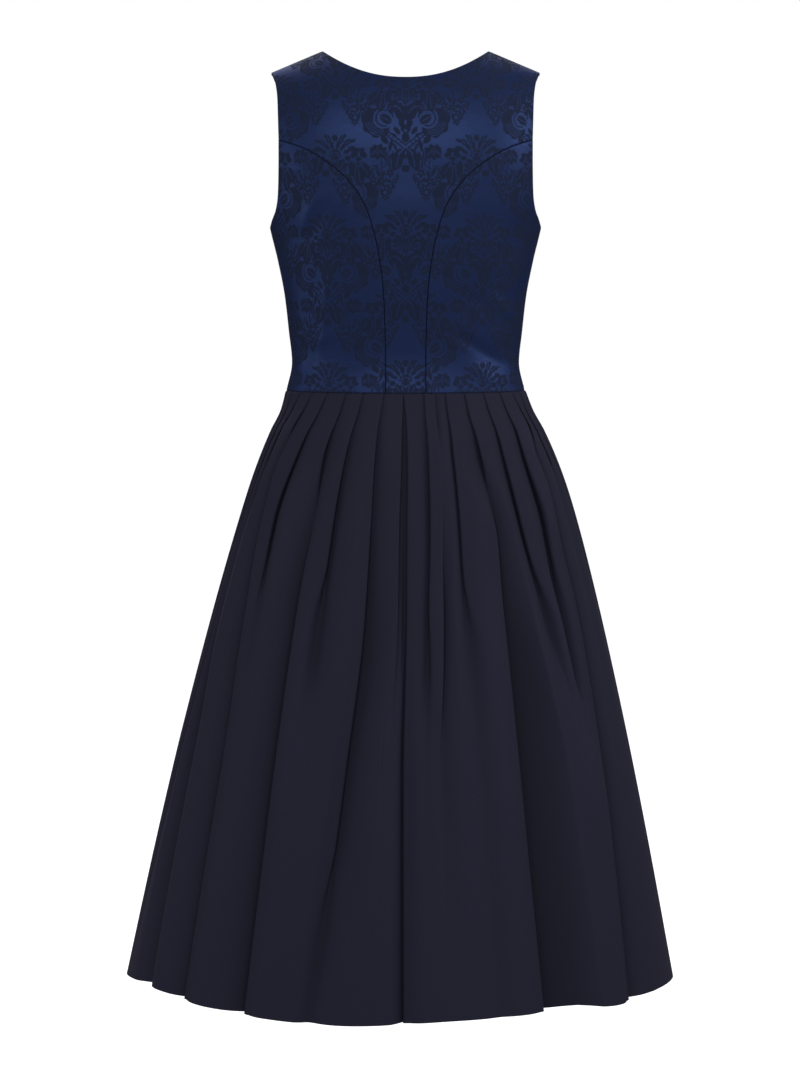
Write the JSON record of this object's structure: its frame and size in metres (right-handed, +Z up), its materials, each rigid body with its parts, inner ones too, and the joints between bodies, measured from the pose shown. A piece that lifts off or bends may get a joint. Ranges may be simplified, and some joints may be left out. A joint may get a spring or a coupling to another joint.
{
  "type": "dirndl dress",
  "caption": "Sleeveless dress with a princess-seamed jacquard bodice and a midi skirt in pressed knife pleats, filled out as worn.",
  "frame": {"origin": "midway between the two shoulder seams on the centre line, where the wearer's shoulders carry the dress", "axes": "+Z up, +Y towards the back of the dress and -Y towards its front, +X to the wearer's left"},
  "size_m": [0.6314, 0.4816, 1.0675],
  "materials": {
    "bodice_jacquard": "dark blue satin with a tonal woven rose and leaf damask",
    "skirt_cloth": "fine plain dark navy cloth, soft matte with a faint sheen"
  },
  "bodies": {
    "root": {"back_centre": "bodice_jacquard", "back_side_left": "bodice_jacquard", "back_side_right": "bodice_jacquard", "front_centre_left": "bodice_jacquard", "front_centre_right": "bodice_jacquard", "front_side_left": "bodice_jacquard", "front_side_right": "bodice_jacquard", "skirt_back": "skirt_cloth", "skirt_front": "skirt_cloth"}
  },
  "joints": []
}
